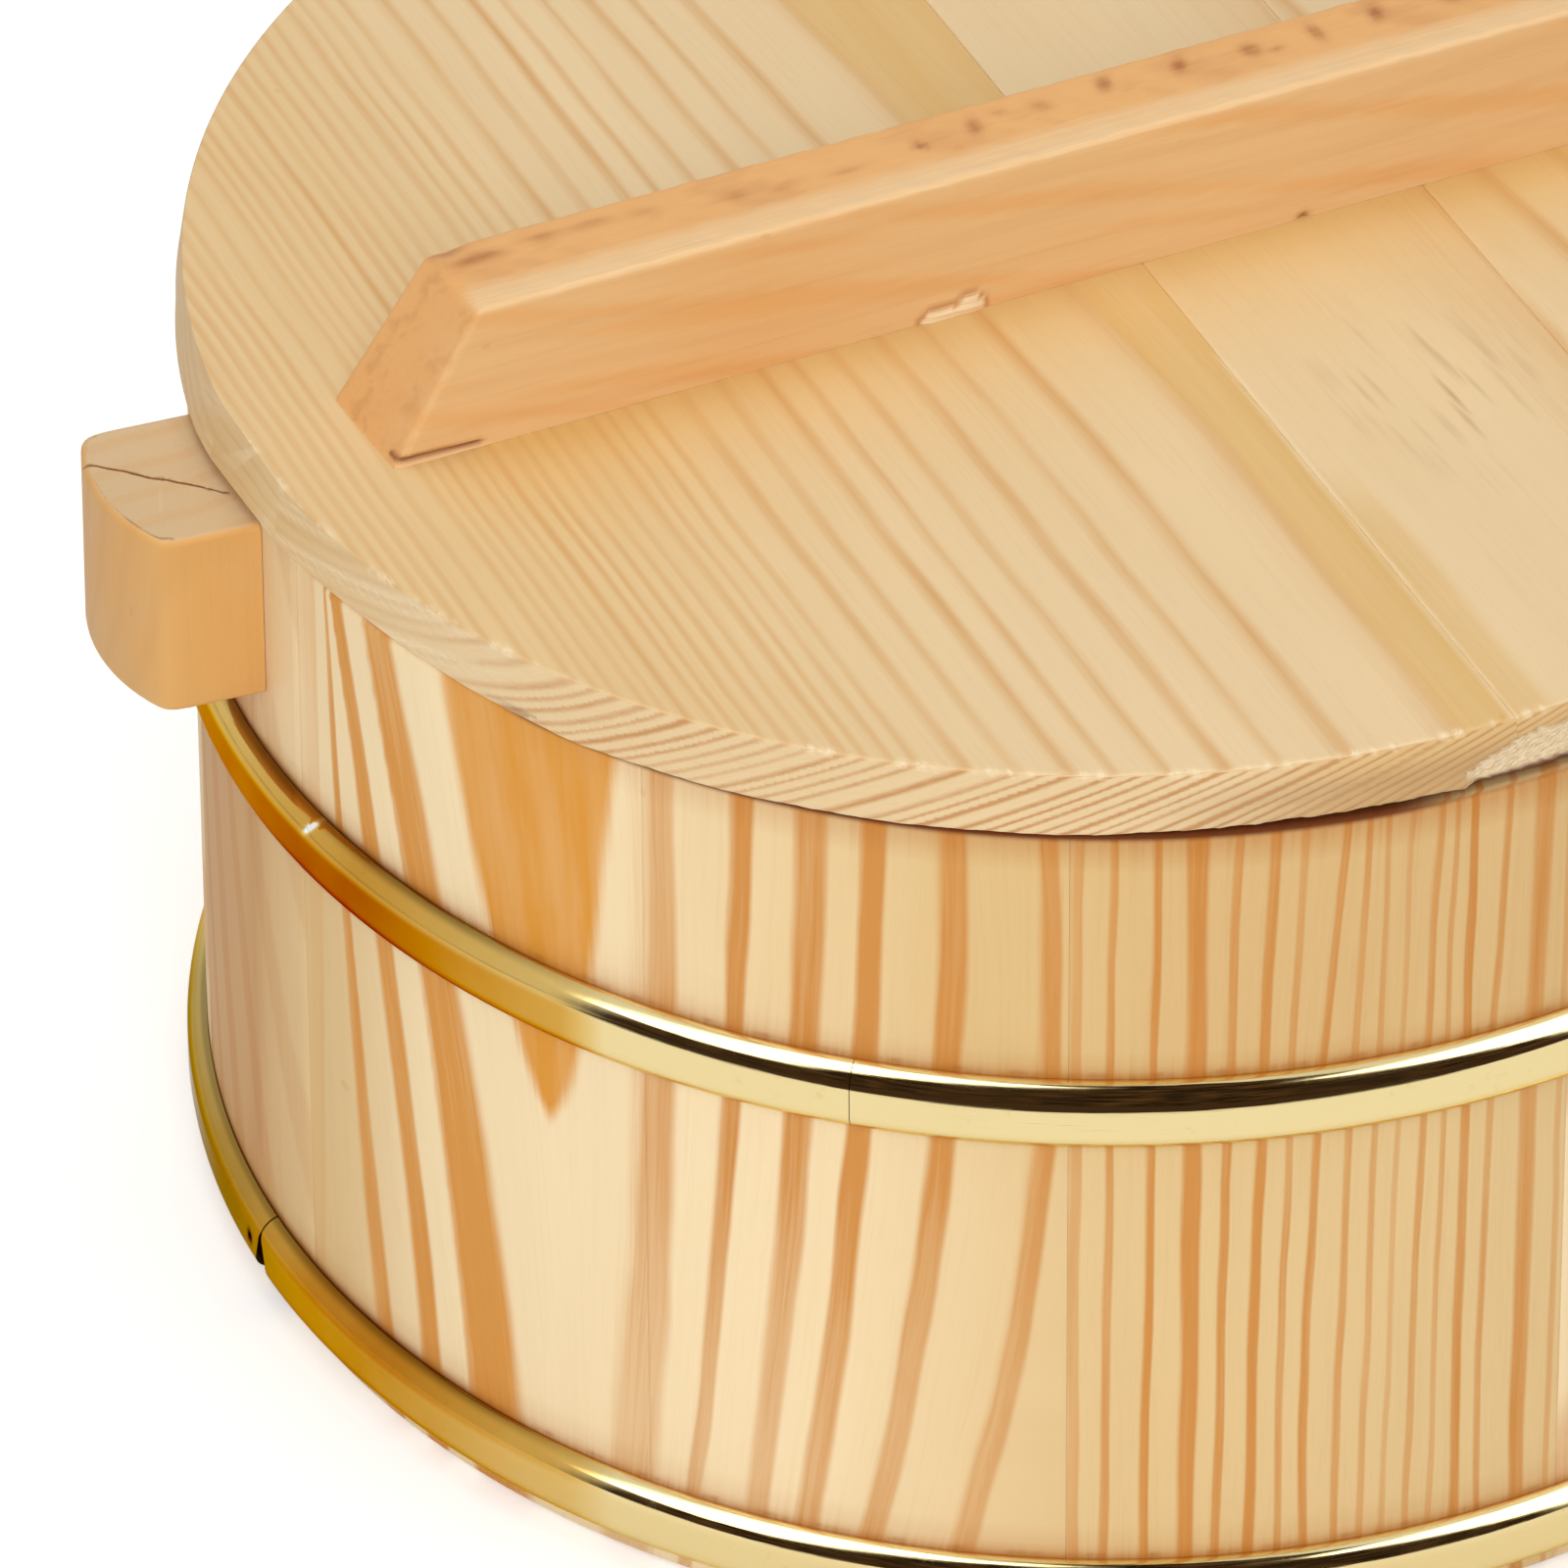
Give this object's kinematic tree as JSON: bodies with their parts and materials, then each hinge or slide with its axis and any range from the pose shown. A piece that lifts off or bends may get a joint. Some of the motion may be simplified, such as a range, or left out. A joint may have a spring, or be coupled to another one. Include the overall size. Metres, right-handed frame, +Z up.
{
  "type": "rice steamer bucket",
  "caption": "Coopered wooden steaming bucket with side ears, brass hoops, a loose slatted grate inside and a flat plank lid with a batten handle.",
  "frame": {"origin": "on the ground, at the centre of the bucket's foot", "axes": "+Z up along the bucket's axis; the two ears lie along X; -Y is the front"},
  "size_m": [0.2976, 0.2688, 0.1707],
  "materials": {
    "stave_wood": "planed pine, satin",
    "lid_wood": "planed pine, satin",
    "batten_wood": "planed hardwood, satin",
    "ear_wood": "planed hardwood, satin",
    "grate_wood": "planed, matt",
    "bamboo": "split and shaved",
    "brass": "polished",
    "steel": "plated"
  },
  "bodies": {
    "bucket": {"stave_01": "stave_wood", "stave_02": "stave_wood", "stave_03": "stave_wood", "stave_04": "stave_wood", "stave_05": "stave_wood", "stave_06": "stave_wood", "stave_07": "stave_wood", "stave_08": "stave_wood", "stave_09": "stave_wood", "stave_10": "stave_wood", "stave_11": "stave_wood", "stave_12": "stave_wood", "stave_13": "stave_wood", "stave_14": "stave_wood", "stave_pin_01": "bamboo", "stave_pin_02": "bamboo", "stave_pin_03": "bamboo", "stave_pin_04": "bamboo", "stave_pin_05": "bamboo", "stave_pin_06": "bamboo", "stave_pin_07": "bamboo", "stave_pin_08": "bamboo", "stave_pin_09": "bamboo", "stave_pin_10": "bamboo", "stave_pin_11": "bamboo", "stave_pin_12": "bamboo", "stave_pin_13": "bamboo", "stave_pin_14": "bamboo", "ear_left": "ear_wood", "ear_right": "ear_wood", "ear_left_dowel_upper": "ear_wood", "ear_left_dowel_lower": "ear_wood", "ear_right_dowel_upper": "ear_wood", "ear_right_dowel_lower": "ear_wood", "hoop_upper": "brass", "hoop_lower": "brass", "grate_bar_front": "grate_wood", "grate_bar_back": "grate_wood"},
    "grate": {"grate_slat_1": "grate_wood", "grate_slat_2": "grate_wood", "grate_slat_3": "grate_wood", "grate_slat_4": "grate_wood", "grate_slat_5": "grate_wood", "grate_slat_6": "grate_wood", "grate_slat_7": "grate_wood", "grate_cleat_front": "grate_wood", "grate_cleat_back": "grate_wood"},
    "lid": {"lid_plank_left": "lid_wood", "lid_plank_middle": "lid_wood", "lid_plank_right": "lid_wood", "lid_cleat_front": "lid_wood", "lid_cleat_back": "lid_wood", "lid_batten": "batten_wood", "lid_screw_1": "steel", "lid_screw_2": "steel", "lid_screw_3": "steel"}
  },
  "joints": [
    {"name": "lid_lift", "type": "slide", "parent": "bucket", "child": "lid", "axis": [0, 0, 1], "range_m": [0, 0.15]},
    {"name": "grate_lift", "type": "slide", "parent": "bucket", "child": "grate", "axis": [0, 0, 1], "range_m": [0, 0.09]}
  ]
}
